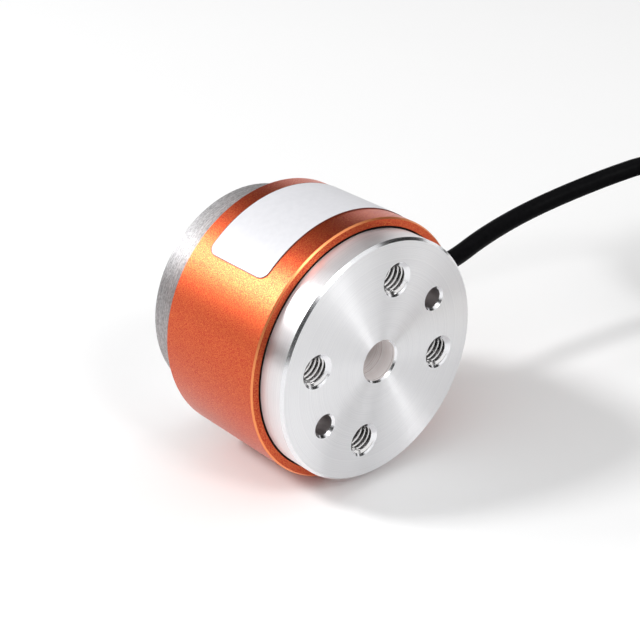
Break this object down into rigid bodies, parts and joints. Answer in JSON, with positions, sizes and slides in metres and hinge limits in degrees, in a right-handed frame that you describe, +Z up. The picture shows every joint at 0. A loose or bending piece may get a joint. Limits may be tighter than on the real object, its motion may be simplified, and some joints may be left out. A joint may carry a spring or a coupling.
{
  "type": "reaction torque sensor",
  "caption": "Round flange-to-flange reaction torque sensor with a turned aluminium body, tapped flanges, an orange anodised cover sleeve and a coiled signal cable.",
  "frame": {"origin": "on the surface that the sensor lies on, under the middle of its body's length", "axes": "+Y along the torque axis, from the front flange to the rear flange; +X to the side where the cable leaves; +Z up"},
  "size_m": [0.1741, 0.0836, 0.0521],
  "materials": {
    "turned_aluminium": "fine turned, bright",
    "orange_anodised": "bead-blasted and anodised orange, satin",
    "seal_rubber": "matt black",
    "label_film": "white satin film, bare",
    "boot_rubber": "moulded, matt black",
    "cable_jacket": "smooth satin black",
    "spring_steel": "bright rolled",
    "screw_steel": "zinc plated",
    "spacer_brass": "turned",
    "board_laminate": "green solder resist",
    "gauge_film": "amber film with foil grids",
    "lead_copper": "enamelled copper",
    "resistor_black": "chip with tinned ends",
    "core_red": "satin insulation",
    "core_black": "satin insulation",
    "core_green": "satin insulation",
    "core_white": "satin insulation",
    "core_yellow": "satin sleeving on the drain wire",
    "tie_nylon": "moulded nylon",
    "shrink_sleeve": "satin shrink tube",
    "tinned_copper": "tinned"
  },
  "bodies": {
    "root": {"measuring_body": "turned_aluminium", "cover_sleeve": "orange_anodised", "front_seal_ring": "seal_rubber", "rear_seal_ring": "seal_rubber", "label_plate": "label_film", "cable_boot": "boot_rubber", "boot_clip": "spring_steel", "circuit_board": "board_laminate", "board_spacers": "spacer_brass", "board_screws": "screw_steel", "strain_gauge_1": "gauge_film", "strain_gauge_2": "gauge_film", "strain_gauge_3": "gauge_film", "strain_gauge_4": "gauge_film", "gauge_leads_1": "lead_copper", "gauge_leads_2": "lead_copper", "gauge_leads_3": "lead_copper", "gauge_leads_4": "lead_copper", "bridge_resistor_1": "resistor_black", "bridge_resistor_2": "resistor_black", "bridge_resistor_3": "resistor_black", "shield_wire": "core_yellow", "conductor_red": "core_red", "conductor_black": "core_black", "conductor_green": "core_green", "conductor_white": "core_white", "cable": "cable_jacket", "cable_coil": "cable_jacket", "cable_tail": "cable_jacket", "coil_ties": "tie_nylon", "end_sleeve": "shrink_sleeve", "lead_red": "core_red", "lead_black": "core_black", "lead_green": "core_green", "lead_white": "core_white", "lead_shield": "core_yellow", "lead_tips": "tinned_copper"}
  },
  "joints": []
}
